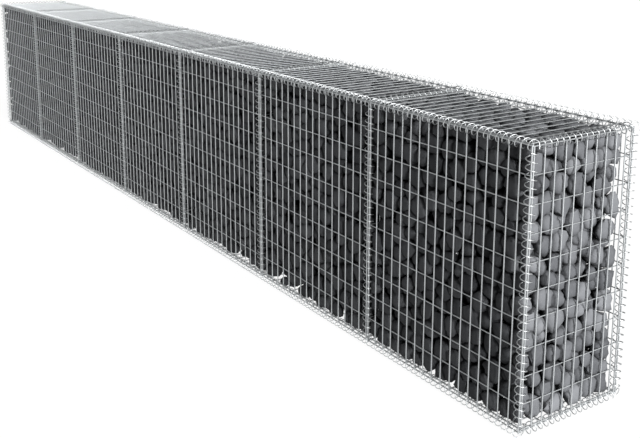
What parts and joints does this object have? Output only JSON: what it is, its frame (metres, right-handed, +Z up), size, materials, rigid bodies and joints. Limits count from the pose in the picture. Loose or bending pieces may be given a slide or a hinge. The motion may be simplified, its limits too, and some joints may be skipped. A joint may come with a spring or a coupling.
{
  "type": "gabion wall",
  "caption": "Free-standing gabion wall: a row of welded wire baskets filled with rounded stone and laced together with spiral binders.",
  "frame": {"origin": "on the ground under the middle of the wall, at the centre of its footprint", "axes": "+X along the wall, -Y the front face, +Z up"},
  "size_m": [6.0584, 0.5364, 1.0415],
  "materials": {
    "mesh_wire": "galvanised, satin, slightly mottled zinc",
    "spiral_wire": "galvanised, brighter drawn spring wire",
    "stone": "rounded grey field stone, matt"
  },
  "bodies": {
    "root": {"front_panel_1": "mesh_wire", "back_panel_1": "mesh_wire", "base_panel_1": "mesh_wire", "cover_1": "mesh_wire", "stone_fill_1": "stone", "front_panel_2": "mesh_wire", "back_panel_2": "mesh_wire", "base_panel_2": "mesh_wire", "cover_2": "mesh_wire", "stone_fill_2": "stone", "front_panel_3": "mesh_wire", "back_panel_3": "mesh_wire", "base_panel_3": "mesh_wire", "cover_3": "mesh_wire", "stone_fill_3": "stone", "front_panel_4": "mesh_wire", "back_panel_4": "mesh_wire", "base_panel_4": "mesh_wire", "cover_4": "mesh_wire", "stone_fill_4": "stone", "front_panel_5": "mesh_wire", "back_panel_5": "mesh_wire", "base_panel_5": "mesh_wire", "cover_5": "mesh_wire", "stone_fill_5": "stone", "front_panel_6": "mesh_wire", "back_panel_6": "mesh_wire", "base_panel_6": "mesh_wire", "cover_6": "mesh_wire", "stone_fill_6": "stone", "front_panel_7": "mesh_wire", "back_panel_7": "mesh_wire", "base_panel_7": "mesh_wire", "cover_7": "mesh_wire", "stone_fill_7": "stone", "partition_1": "mesh_wire", "partition_2": "mesh_wire", "partition_3": "mesh_wire", "partition_4": "mesh_wire", "partition_5": "mesh_wire", "partition_6": "mesh_wire", "end_panel_left": "mesh_wire", "end_panel_right": "mesh_wire", "upright_binders_front": "spiral_wire", "upright_binders_back": "spiral_wire", "top_binder_front": "spiral_wire", "top_binder_back": "spiral_wire", "base_binder_front": "spiral_wire", "base_binder_back": "spiral_wire", "top_cross_binders": "spiral_wire", "base_cross_binders": "spiral_wire"}
  },
  "joints": []
}
